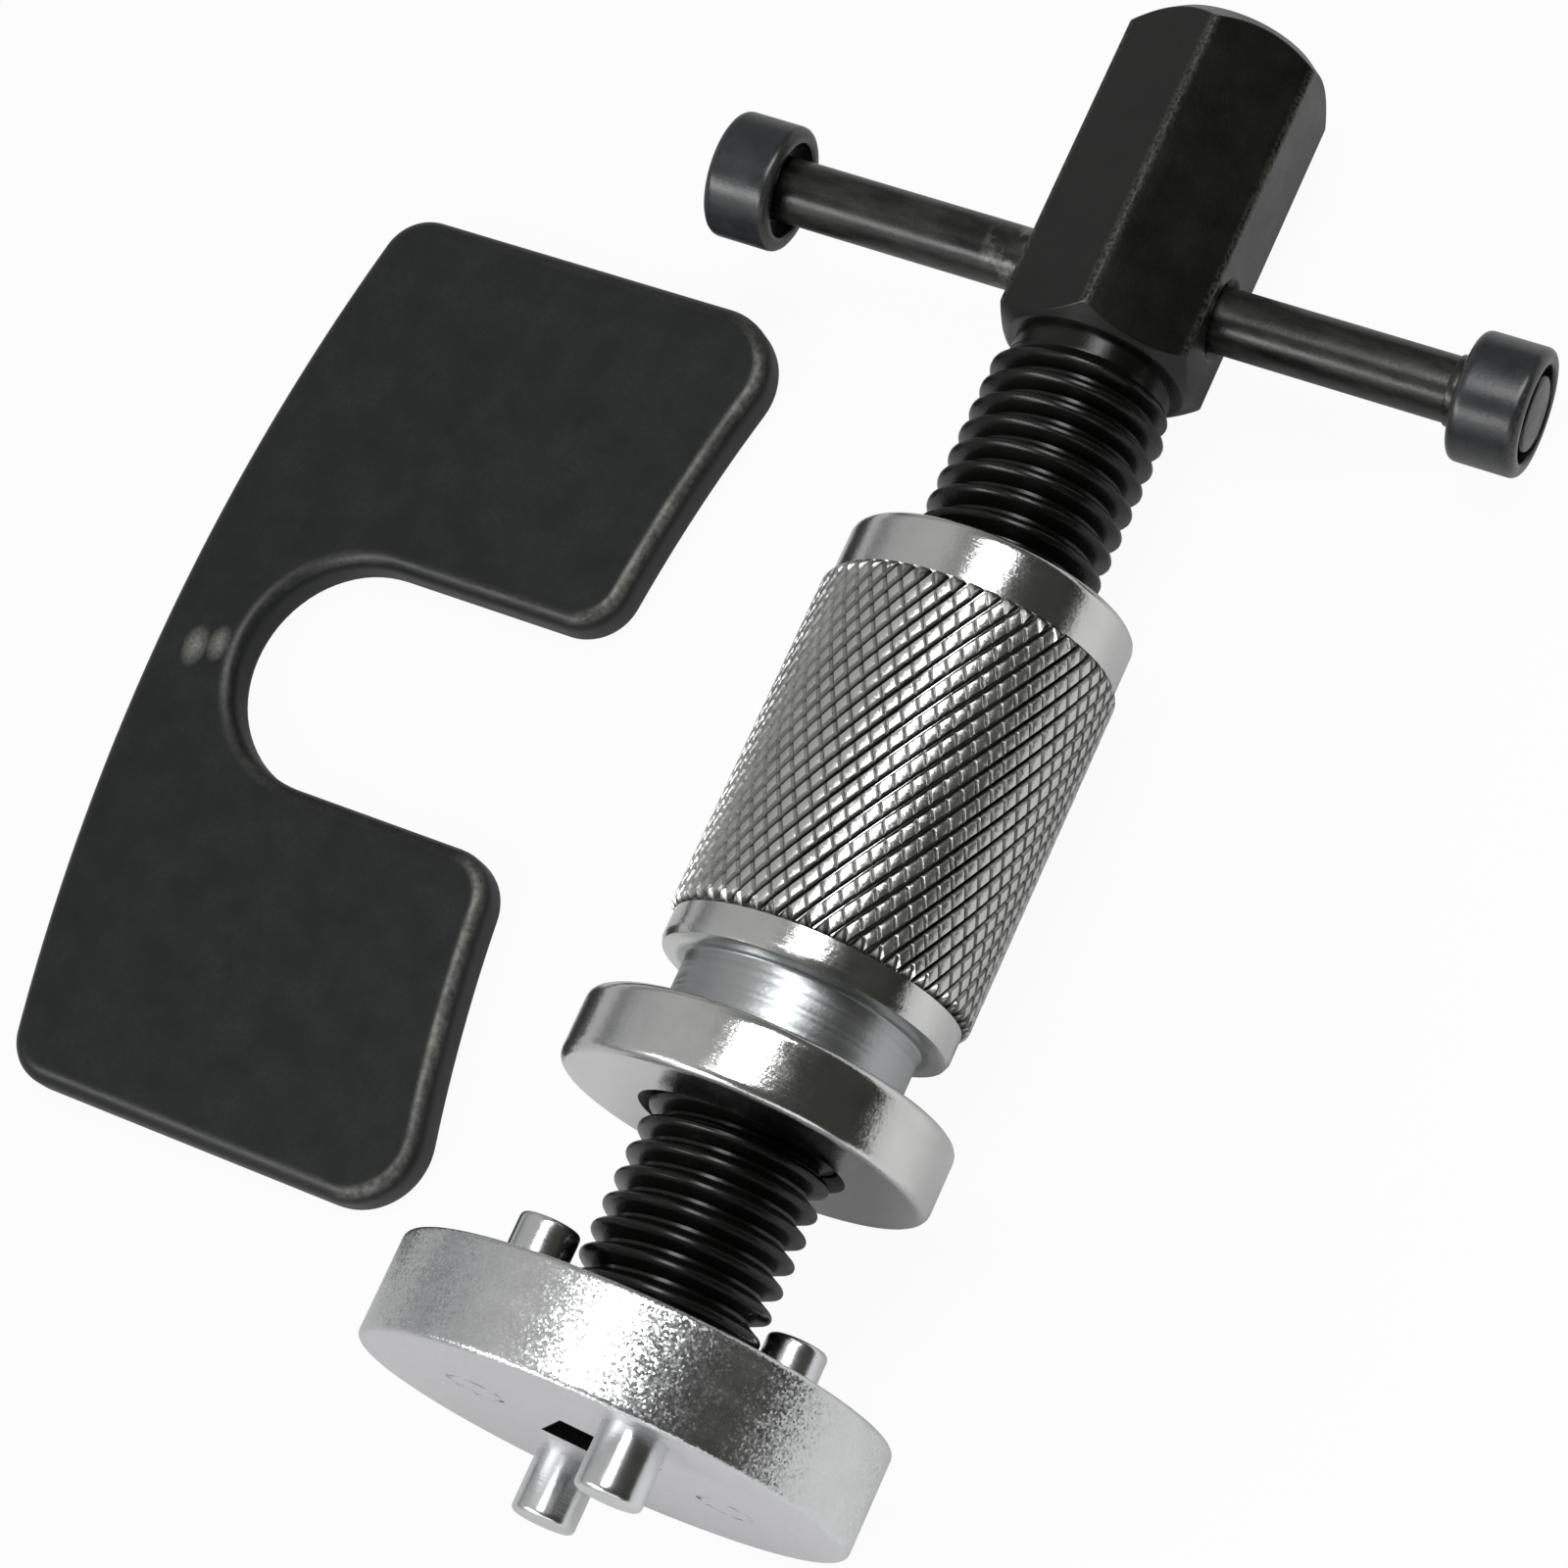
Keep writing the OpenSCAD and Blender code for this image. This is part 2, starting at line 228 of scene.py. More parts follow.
def put(tree, kind, inputs=None, **settings):
    node = tree.nodes.new(kind)
    for key, value in settings.items():
        setattr(node, key, value)
    for key, value in (inputs or {}).items():
        if isinstance(value, bpy.types.NodeSocket):
            tree.links.new(value, node.inputs[key])
        else:
            node.inputs[key].default_value = value
    return node


def ramp(tree, value, low, high, out_low=0.0, out_high=1.0):
    """The value, stretched from low..high to out_low..out_high and held there."""
    node = put(tree, "ShaderNodeMapRange", {"Value": value, "From Min": low, "From Max": high,
                                            "To Min": out_low, "To Max": out_high})
    return node.outputs["Result"]


def maths(tree, operation, first, second=0.0):
    return put(tree, "ShaderNodeMath", {0: first, 1: second}, operation=operation).outputs[0]


def vectors(tree, operation, first, second=(0.0, 0.0, 0.0)):
    return put(tree, "ShaderNodeVectorMath", {0: first, 1: second}, operation=operation).outputs[0]


def vector_length(tree, vector):
    return put(tree, "ShaderNodeVectorMath", {0: vector}, operation="LENGTH").outputs["Value"]


def blended(tree, mask, under, over):
    """Colour under, covered by colour over where mask is 1."""
    node = put(tree, "ShaderNodeMix", {0: mask, 6: under, 7: over}, data_type="RGBA")
    return node.outputs[2]


def effect_group(name, inputs, output, output_kind="NodeSocketFloat"):
    tree = bpy.data.node_groups.new(name, "ShaderNodeTree")
    for label, kind, value in inputs:
        socket = tree.interface.new_socket(name=label, in_out="INPUT", socket_type=kind)
        if value is not None:
            socket.default_value = value
    tree.interface.new_socket(name=output, in_out="OUTPUT", socket_type=output_kind)
    return tree, put(tree, "NodeGroupInput").outputs, put(tree, "NodeGroupOutput").inputs


def grain_group():
    """Cloudy variation from 0 to 1, for mottled finishes and for grain."""
    tree, given, result = effect_group(
        "mottled_grain",
        [("Vector", "NodeSocketVector", None), ("Scale", "NodeSocketFloat", 400.0),
         ("Low", "NodeSocketFloat", 0.35), ("High", "NodeSocketFloat", 0.65)],
        "Value")
    noise = put(tree, "ShaderNodeTexNoise", {"Vector": given["Vector"], "Scale": given["Scale"],
                                             "Detail": 5.0, "Roughness": 0.6})
    tree.links.new(ramp(tree, noise.outputs["Fac"], given["Low"], given["High"]), result["Value"])
    return tree


def rings_group():
    """Fine rings left by the lathe, along the Z of the given vector."""
    tree, given, result = effect_group(
        "lathe_rings",
        [("Vector", "NodeSocketVector", None), ("Lines per metre", "NodeSocketFloat", 5000.0)],
        "Height")
    height = put(tree, "ShaderNodeSeparateXYZ", {"Vector": given["Vector"]}).outputs["Z"]
    along = maths(tree, "MULTIPLY", height, given["Lines per metre"])
    noise = put(tree, "ShaderNodeTexNoise", {"W": along, "Scale": 1.0, "Detail": 2.0},
                noise_dimensions="1D")
    tree.links.new(noise.outputs["Fac"], result["Height"])
    return tree


def facets_group():
    """The given normal, tilted at random from one small facet to the next."""
    tree, given, result = effect_group(
        "small_facets",
        [("Vector", "NodeSocketVector", None), ("Normal", "NodeSocketVector", None),
         ("Scale", "NodeSocketFloat", 5000.0), ("Tilt", "NodeSocketFloat", 0.2)],
        "Normal", "NodeSocketVector")
    facets = put(tree, "ShaderNodeTexVoronoi", {"Vector": given["Vector"], "Scale": given["Scale"]})
    lean = vectors(tree, "SUBTRACT", facets.outputs["Color"], (0.5, 0.5, 0.5))
    lean = put(tree, "ShaderNodeVectorMath", {0: lean, "Scale": given["Tilt"]}, operation="SCALE")
    tilted = vectors(tree, "ADD", given["Normal"], lean.outputs[0])
    tree.links.new(vectors(tree, "NORMALIZE", tilted), result["Normal"])
    return tree


GRAIN, RINGS, FACETS = grain_group(), rings_group(), facets_group()


def effect(tree, group, output, **inputs):
    node = put(tree, "ShaderNodeGroup", node_tree=group)
    for key, value in inputs.items():
        socket = node.inputs[key.replace("_", " ")]
        if isinstance(value, bpy.types.NodeSocket):
            tree.links.new(value, socket)
        else:
            socket.default_value = value
    return node.outputs[output]


class Finish:
    """A material in the making: its nodes, its shader and coordinates in a piece's own frame."""

    def __init__(self, name, place=LAID, **sockets):
        self.material = bpy.data.materials.new(name)
        self.material.use_nodes = True
        self.tree = self.material.node_tree
        self.tree.nodes.clear()
        self.shader = put(self.tree, "ShaderNodeBsdfPrincipled", sockets)
        put(self.tree, "ShaderNodeOutputMaterial", {"Surface": self.shader.outputs[0]})
        where = put(self.tree, "ShaderNodeTexCoord").outputs["Object"]
        turn = place.to_euler()
        self.where = put(self.tree, "ShaderNodeMapping",
                         {"Vector": where, "Location": place.translation, "Rotation": turn},
                         vector_type="TEXTURE").outputs["Vector"]

    def axes(self):
        return put(self.tree, "ShaderNodeSeparateXYZ", {"Vector": self.where}).outputs

    def radius(self):
        """Distance from the piece's own axis, in millimetres."""
        x, y, _ = self.axes()
        flat = put(self.tree, "ShaderNodeCombineXYZ", {"X": x, "Y": y}).outputs[0]
        return maths(self.tree, "DIVIDE", vector_length(self.tree, flat), MM)

    def height(self):
        """Height along the piece's own axis, in millimetres."""
        return maths(self.tree, "DIVIDE", self.axes()[2], MM)

    def link(self, value, socket):
        self.tree.links.new(value, self.shader.inputs[socket])

    def bump(self, height):
        node = put(self.tree, "ShaderNodeBump", {"Height": height, "Distance": GRAIN_DEPTH * MM,
                                                 "Strength": GRAIN_STRENGTH})
        self.link(node.outputs["Normal"], "Normal")
        return node.outputs["Normal"]


BLACK, BLACK_PALE = (0.0030, 0.0031, 0.0026, 1), (0.0052, 0.0052, 0.0045, 1)
BLUE_BLACK, BLUE_PALE = (0.0055, 0.0067, 0.0090, 1), (0.015, 0.0175, 0.022, 1)
COAT, COAT_PALE = (0.0036, 0.0050, 0.0046, 1), (0.0115, 0.0148, 0.0136, 1)
# The second colour is bare steel, which on the plate's lit edges also paints a highlight
RUBBED, STEEL_WEAR_AND_HIGHLIGHT = (0.12, 0.12, 0.105, 1), (0.42, 0.41, 0.38, 1)


def black_oxide(name, place, tones, rough, shine, wear_and_highlight=None, wear_and_highlight_colour=RUBBED,
                grains=2600.0, speckle=0.5):
    """Blackened steel with a cloudy tone, and with steel showing through where a wear mask is given;
    on the plate that mask also paints a highlight.
    """
    made = Finish(name, place, **{"Specular IOR Level": shine})
    tree = made.tree
    cloud = effect(tree, GRAIN, "Value", Vector=made.where, Scale=220.0, Low=0.3, High=0.75)
    fine = effect(tree, GRAIN, "Value", Vector=made.where, Scale=grains, Low=0.3, High=0.7)
    mottle = maths(tree, "MULTIPLY", cloud, ramp(tree, fine, 0.0, 1.0, 1.0 - speckle, 1.0))
    tone = blended(tree, mottle, *tones)
    if wear_and_highlight:
        wear_and_highlight_share = wear_and_highlight(made, fine)
        tone = blended(tree, wear_and_highlight_share, tone, wear_and_highlight_colour)
        made.link(ramp(tree, wear_and_highlight_share, 0.0, 1.0, 0.0, 0.7), "Metallic")
    made.link(tone, "Base Color")
    made.link(ramp(tree, cloud, 0.0, 1.0, rough - 0.05, rough + 0.07), "Roughness")
    made.bump(fine)
    return made.material


def between(made, value, low, high, soft):
    """1 where the value lies from low to high, fading over soft on either side."""
    rise = ramp(made.tree, value, low - soft, low)
    return maths(made.tree, "SUBTRACT", rise, ramp(made.tree, value, high, high + soft))


def head_wear(made, fine):
    """Speckled wear along the head's long edges."""
    edge = ramp(made.tree, made.radius(), 10.6, 10.95)
    return maths(made.tree, "MULTIPLY", edge, ramp(made.tree, fine, 0.3, 0.75, 0.0, 0.8))


def bar_wear(made, fine):
    """Soft streaks along the bar, and a brighter patch where it rubs in the head's hole."""
    tree = made.tree
    drawn_out = put(tree, "ShaderNodeMapping", {"Vector": made.where, "Scale": (1, 1, 0.3)})
    streaks = effect(tree, GRAIN, "Value", Vector=drawn_out.outputs["Vector"], Scale=520.0,
                     Low=0.42, High=0.8)
    spots = effect(tree, GRAIN, "Value", Vector=made.where, Scale=300.0, Low=0.48, High=0.62)
    patch = maths(tree, "MULTIPLY", spots, between(made, made.height(), -13.0, -9.5, 1.5))
    return maths(tree, "MAXIMUM", maths(tree, "MULTIPLY", streaks, 0.1),
                 maths(tree, "MULTIPLY", patch, 0.45))


def cap_wear(made, fine):
    """Thin lines of wear around the caps' rims, and a faint mottle."""
    tree = made.tree
    edge = between(made, made.radius(), CAP_R - 0.6, CAP_R - 0.12, 0.1)
    lines = maths(tree, "MULTIPLY", edge, ramp(tree, fine, 0.2, 0.9, 0.15, 0.6))
    mottle = effect(tree, GRAIN, "Value", Vector=made.where, Scale=600.0, Low=0.4, High=0.75)
    return maths(tree, "MAXIMUM", lines, maths(tree, "MULTIPLY", mottle, 0.12))


def oval_spot(made, middle, reach):
    """1 in the middle of a soft oval spot on the plate's top."""
    away = vectors(made.tree, "SUBTRACT", made.where, Vector((*middle, PLATE_T)) * MM)
    away = vectors(made.tree, "DIVIDE", away, Vector((*reach, 1.0)) * MM)
    return ramp(made.tree, vector_length(made.tree, away), 1.0, 0.0)


def plate_wear_and_highlight(made, fine):
    """Wear and painted highlight along the upper turn of the plate's right-hand edges, and two scuffs
    beside its slot.
    """
    tree = made.tree
    along, _, up = (maths(tree, "DIVIDE", value, MM) for value in made.axes())
    # Painted highlight as well as wear: the mark keeps to the upper turn of the rounding and to edges
    # facing right, where the overhead light is mirrored
    turn = maths(tree, "MULTIPLY", ramp(tree, up, PLATE_T - 0.9, PLATE_T - 0.3),
                 ramp(tree, up, PLATE_T - 0.002, PLATE_T - 0.04))
    facing = put(tree, "ShaderNodeTexCoord").outputs["Normal"]
    facing = put(tree, "ShaderNodeSeparateXYZ", {"Vector": facing}).outputs["X"]
    front = maths(tree, "MULTIPLY", ramp(tree, facing, 0.02, 0.25, 0.08, 1.0),
                  ramp(tree, along, -50.0, -36.0, 0.2, 1.0))
    patchy = effect(tree, GRAIN, "Value", Vector=made.where, Scale=160.0, Low=0.35, High=0.65)
    speckle = effect(tree, GRAIN, "Value", Vector=made.where, Scale=1500.0, Low=0.3, High=0.75)
    wear_and_highlight_share = maths(tree, "MULTIPLY", ramp(tree, patchy, 0.0, 1.0, 0.3, 1.0),
                 ramp(tree, speckle, 0.0, 1.0, 0.1, 0.5))
    lit_edge_wear = maths(tree, "MULTIPLY", maths(tree, "MULTIPLY", turn, front), wear_and_highlight_share)
    spots = maths(tree, "MAXIMUM", oval_spot(made, (-59.0, -8.9), (1.5, 2.4)),
                  oval_spot(made, (-56.6, -7.95), (1.3, 2.1)))
    scuffs = maths(tree, "MULTIPLY", spots, ramp(tree, fine, 0.1, 0.9, 0.25, 0.6))
    return maths(tree, "MAXIMUM", lit_edge_wear, scuffs)


def bright_plate(name, tint, rough, lines, grain, dull_and_shade=(), place=LAID, sparkle=0.0):
    """Plated steel with fine lathe rings and a grain, and small facets where sparkle tilts them.

    Each entry is a mask, its colour and its extra roughness; some entries give a duller finish, and
    some paint shade.
    """
    made = Finish(name, place, Metallic=1.0)
    tree = made.tree
    rings = effect(tree, RINGS, "Height", Vector=made.where, Lines_per_metre=lines)
    cloud = effect(tree, GRAIN, "Value", Vector=made.where, Scale=300.0, Low=0.3, High=0.7)
    fine = effect(tree, GRAIN, "Value", Vector=made.where, Scale=2200.0)
    shaded = tuple(channel * 0.9 for channel in tint[:3]) + (1,)
    colour = blended(tree, cloud, shaded, tint)
    roughness = ramp(tree, maths(tree, "ADD", cloud, rings), 0.4, 1.6, rough - 0.03, rough + 0.06)
    for mask, matter, matter_rough in dull_and_shade:
        share = mask(made)
        colour = blended(tree, share, colour, matter)
        roughness = maths(tree, "ADD", roughness, maths(tree, "MULTIPLY", share, matter_rough))
    made.link(colour, "Base Color")
    made.link(roughness, "Roughness")
    height = maths(tree, "ADD", rings, maths(tree, "MULTIPLY", fine, grain))
    normal = made.bump(height)
    if sparkle:
        tilted = effect(tree, FACETS, "Normal", Vector=made.where, Normal=normal, Tilt=sparkle)
        made.link(tilted, "Normal")
    return made.material


def neck_painted_shade(made):
    """1 in the sleeve's groove, which is painted darker as shade and made rougher."""
    deep = ramp(made.tree, made.radius(), NECK_R + 1.2, NECK_R + 0.6)
    inside = between(made, made.height(), FLANGE_TOP, GROOVE_TOP, 0.1)
    return maths(made.tree, "MULTIPLY", deep, inside)


def bore_dull(made):
    """1 inside the sleeve's bore and its chamfers, which are drawn near black."""
    mouth = BORE_R + BORE_CHAMFER
    return ramp(made.tree, made.radius(), mouth + 0.05, mouth - 0.05)


def knurl_groove_shade_and_dirt(made):
    """1 at the bottom of the knurl's grooves, which are darkened there: painted shade, and dirt."""
    return ramp(made.tree, made.radius(), GRIP_ROOT_R + 0.62, GRIP_ROOT_R + 0.3)


def face_dull(made):
    """1 on the disc's two flat faces."""
    height = made.height()
    low = ramp(made.tree, height, 0.12, 0.03)
    return maths(made.tree, "MAXIMUM", low, ramp(made.tree, height, DISC_T - 0.12, DISC_T - 0.03))


def hole_painted_shade(made):
    """1 on the walls of the disc's square hole, which are painted near black as shade."""
    tree = made.tree
    x, y, _ = made.axes()
    reach = maths(tree, "MAXIMUM", maths(tree, "ABSOLUTE", x), maths(tree, "ABSOLUTE", y))
    return ramp(tree, reach, (DRIVE_HOLE_S / 2 + 0.15) * MM, (DRIVE_HOLE_S / 2 + 0.05) * MM)


def pin_mark(made):
    """1 on the broken rings around the ends of the upper pins, in the disc's lower face."""
    tree = made.tree
    x, y, _ = made.axes()
    aside = maths(tree, "SUBTRACT", maths(tree, "ABSOLUTE", y), UPPER_PIN_AT * MM)
    flat = put(tree, "ShaderNodeCombineXYZ", {"X": x, "Y": aside}).outputs[0]
    away = maths(tree, "DIVIDE", vector_length(tree, flat), MM)
    ring = between(made, away, PIN_SHANK_R - 0.1, PIN_SHANK_R + 0.25, 0.15)
    broken = effect(tree, GRAIN, "Value", Vector=made.where, Scale=700.0, Low=0.48, High=0.62)
    low = ramp(tree, made.height(), 0.4, 0.2)
    return maths(tree, "MULTIPLY", maths(tree, "MULTIPLY", ring, broken), low)


thread_black = black_oxide("thread_black", LAID, (BLACK, BLACK_PALE), 0.25, 0.36)
head_black = black_oxide("head_black", LAID, (BLACK, BLACK_PALE), 0.3, 0.42, head_wear)
bar_black = black_oxide("bar_black", ON_BAR, (BLACK, BLACK_PALE), 0.27, 0.45, bar_wear, STEEL_WEAR_AND_HIGHLIGHT)
cap_black = black_oxide("cap_black", ON_BAR, (BLUE_BLACK, BLUE_PALE), 0.29, 0.6, cap_wear)
# The plate's mask paints wear and a highlight in bare steel along its lit right-hand edges
plate_black = black_oxide("plate_black", Matrix.Identity(4), (COAT, COAT_PALE), 0.38, 0.38,
                          plate_wear_and_highlight, STEEL_WEAR_AND_HIGHLIGHT, 3000.0, 1.0)
# In the sleeve's groove the colour is painted darker as shade and the plating is rougher; inside the
# bore it is drawn near black
sleeve_bright = bright_plate("sleeve_bright", (0.72, 0.73, 0.72, 1), 0.15, 5200.0, 0.7,
                             dull_and_shade=[(neck_painted_shade, (0.46, 0.48, 0.485, 1), 0.2),
                                   (bore_dull, (0.05, 0.05, 0.05, 1), 0.3)],
                             sparkle=0.04)
# The bottom of the knurl's grooves is darkened: painted shade, and dirt
knurl_bright = bright_plate("knurl_bright", (0.68, 0.69, 0.68, 1), 0.29, 3000.0, 1.5,
                            dull_and_shade=[(knurl_groove_shade_and_dirt, (0.09, 0.09, 0.085, 1), 0.1)], sparkle=0.12)
# The walls of the square hole are painted near black as shade
disc_zinc = bright_plate("disc_zinc", (0.73, 0.74, 0.75, 1), 0.26, 900.0, 0.5,
                         dull_and_shade=[(face_dull, (0.73, 0.73, 0.75, 1), 0.2),
                               (hole_painted_shade, (0.02, 0.02, 0.02, 1), 0.3),
                               (pin_mark, (0.10, 0.10, 0.10, 1), 0.1)],
                         place=TURNED, sparkle=0.22)
pin_bright = bright_plate("pin_bright", (0.76, 0.77, 0.78, 1), 0.2, 3800.0, 0.5)
magnet_grey = bright_plate("magnet_grey", (0.35, 0.36, 0.37, 1), 0.35, 2000.0, 1.0)


# Forcing screw

# Radius and rise of the cone at the thread's start, and reach and length of its run-out at the top
CONE_R, CONE_RISE, RUN_OUT, RUN_OUT_L = 7.7, 1.1, 2.2, 2.0


def make_thread():
    # One turn of the profile: root, flank, rounded crest, flank and root
    turn = [(ROOT_R, 0.15), (8.7, 0.78), (8.9, 0.95), (SCREW_R, 1.13), (SCREW_R, 1.37),
            (8.9, 1.55), (8.7, 1.72), (ROOT_R, 2.35), (ROOT_R, 0.15 + PITCH)]
    start = DISC_T - 2 * PITCH
    turns = int((THREAD_TOP - DISC_T) / PITCH) + 4
    thread = drawn_profile("screw_thread", [(radius, start + height) for radius, height in turn])
    apply_modifier(thread, "SCREW", axis="Z", angle=2 * math.pi, screw_offset=PITCH * MM,
                   iterations=turns, steps=96, render_steps=96, use_merge_vertices=True,
                   merge_threshold=0.002 * MM)
    for height, keep_up in ((DISC_T, True), (THREAD_TOP, False)):
        edit(thread)
        bpy.ops.mesh.select_all(action="SELECT")
        bpy.ops.mesh.bisect(plane_co=(0, 0, height * MM), plane_no=(0, 0, 1), use_fill=True,
                            clear_inner=keep_up, clear_outer=not keep_up)
        done()
    # The thread starts on a cone and runs out into the relief
    for vertex in thread.data.vertices:
        radius, height = math.hypot(vertex.co.x, vertex.co.y) / MM, vertex.co.z / MM
        if radius < 1:
            continue
        fade = min(1.0, max(0.0, (height - THREAD_TOP + RUN_OUT) / RUN_OUT_L))
        target = min(radius, CONE_R + (height - DISC_T) * CONE_RISE)
        target += (RELIEF_R - target) * fade * fade * (3 - 2 * fade)
        vertex.co.x *= target / radius
        vertex.co.y *= target / radius
    tidy_shell(thread)
    return thread


def make_head():
    corner = HEAD_FLATS / math.sqrt(3)
    bpy.ops.object.select_all(action="DESELECT")
    bpy.ops.mesh.primitive_cylinder_add(
        vertices=6, radius=corner * MM, depth=(HEAD_TOP - HEAD_FOOT) * MM,
        location=(0, 0, (HEAD_TOP + HEAD_FOOT) / 2 * MM))
    head = named("screw_head")
    only(head)
    bpy.ops.object.transform_apply(location=True, rotation=True, scale=True)
    edit(head)
    pick_edges(head, lambda a, b: abs(a.z - b.z) > 5 * MM)
    bpy.ops.mesh.bevel(offset=0.35 * MM, segments=3, affect="EDGES")
    done()
    spare = corner + 1
    top_run = (spare - HEAD_TOP_R) / (corner - HEAD_TOP_R) * HEAD_TOP_BEVEL
    foot_run = (spare - HEAD_FOOT_R) / (corner - HEAD_FOOT_R) * HEAD_FOOT_BEVEL
    blank = turned_on_lathe("head_blank", [
        (0, HEAD_FOOT), (HEAD_FOOT_R, HEAD_FOOT), (spare, HEAD_FOOT + foot_run),
        (spare, HEAD_TOP - top_run), (HEAD_TOP_R, HEAD_TOP), (0, HEAD_TOP)])
    cut(head, blank, "INTERSECT")
    # The drill's cones start at the countersinks and run on well clear of the head
    half, clear = HEAD_FLATS / 2, 10.5
    cone_r, end = BAR_HOLE_R + clear + BAR_SINK, 20
    drill = turned_on_lathe("bar_drill", [
        (0, -end), (cone_r, -end), (cone_r, -half - clear), (BAR_HOLE_R, -half + BAR_SINK),
        (BAR_HOLE_R, half - BAR_SINK), (cone_r, half + clear), (cone_r, end), (0, end)], 64)
    drill.matrix_world = ACROSS
    cut(head, drill)
    apply_modifier(head, "BEVEL", width=0.15 * MM, segments=2, limit_method="ANGLE",
                   angle_limit=math.radians(25))
    return head


def make_neck():
    """The relief, which reaches a little into the thread and into the head."""
    low, high = THREAD_TOP - 0.4, HEAD_FOOT + 0.3
    return turned_on_lathe("screw_neck", [(0, low), (RELIEF_R, low), (RELIEF_R, high), (0, high)])


def make_drive():
    bpy.ops.object.select_all(action="DESELECT")
    bpy.ops.mesh.primitive_cube_add(size=DRIVE_S * MM)
    drive = named("screw_drive")
    edit(drive)
    bpy.ops.mesh.select_all(action="SELECT")
    bpy.ops.transform.resize(value=(1, 1, (DISC_T - DRIVE_TIP) / DRIVE_S))
    bpy.ops.transform.translate(value=(0, 0, (DISC_T + DRIVE_TIP) / 2 * MM))
    bpy.ops.mesh.select_all(action="DESELECT")
    pick_edges(drive, lambda a, b: abs(a.z - b.z) > 1 * MM or a.z + b.z < DISC_T * MM)
    bpy.ops.mesh.bevel(offset=DRIVE_BEVEL * MM, segments=3, affect="EDGES")
    done()
    deep = DRIVE_TIP + MAGNET_L
    drill = turned_on_lathe("magnet_drill", [
        (0, 0), (MAGNET_HOLE_R, 0), (MAGNET_HOLE_R, deep), (0, deep)], 64)
    cut(drive, drill)
    return drive


finished(placed(make_thread(), LAID), "screw", ["forcing_screw"], thread_black, 25)
finished(placed(make_neck(), LAID), "screw", ["forcing_screw"], thread_black)
finished(placed(make_head(), ROLLED), "screw", ["forcing_screw"], head_black, 9)
finished(placed(make_drive(), TURNED), "screw", ["forcing_screw"], thread_black)
frame["nodes"]["drive_magnet"].data.materials.clear()
frame["nodes"]["drive_magnet"].data.materials.append(magnet_grey)


# Tommy bar

def make_bar():
    # The left end lies just inside its cap's face
    left, seat, rivet = BAR_LEFT + 0.05, BAR_RIGHT - CAP_L, BAR_RIGHT - CAP_RECESS
    shoulder = seat - SHOULDER_L
    bar = turned_on_lathe("bar_rod", [
        (0, left), (BAR_R, left), (BAR_R, BAR_LEFT + 2 * BORDER), (BAR_R, shoulder),
        (SHOULDER_R, shoulder), (SHOULDER_R, seat), (BAR_R, seat), (BAR_R, rivet),
        (RIVET_R, rivet), (RIVET_R, BAR_RIGHT), (0, BAR_RIGHT)], 64)
    round_rings(bar, [(SHOULDER_R, shoulder, 0.2, 2), (SHOULDER_R, seat, 0.2, 2),
                      (RIVET_R, BAR_RIGHT, 0.4, 3), (BAR_R, left, 0.3, 2)])
    return bar


def make_cap(name):
    rim, recess = CAP_EDGE + BORDER, CAP_L - CAP_RECESS
    cap = turned_on_lathe(name, [
        (BAR_R, 0), (CAP_R - rim, 0), (CAP_R, 0), (CAP_R, rim), (CAP_R, CAP_L - rim),
        (CAP_R, CAP_L), (CAP_RECESS_R, CAP_L), (CAP_RECESS_R, recess), (BAR_R, recess),
        (BAR_R, 0)], 96)
    round_rings(cap, [(CAP_R, 0, CAP_EDGE, 4), (CAP_R, CAP_L, CAP_EDGE, 4),
                      (CAP_RECESS_R, CAP_L, 0.3, 3)])
    return cap


finished(placed(make_bar(), ON_BAR), "bar", ["tommy_bar"], bar_black)
left_cap = make_cap("bar_end_cap_left")
right_cap = copied(left_cap, "bar_end_cap_right")
finished(placed(left_cap, ON_BAR @ Matrix.Translation((0, 0, BAR_LEFT * MM))),
         "bar", ["bar_cap_left"], cap_black)
finished(placed(right_cap, ON_BAR @ Matrix.Translation((0, 0, (BAR_RIGHT - CAP_L) * MM))),
         "bar", ["bar_cap_right"], cap_black)


# Thrust sleeve

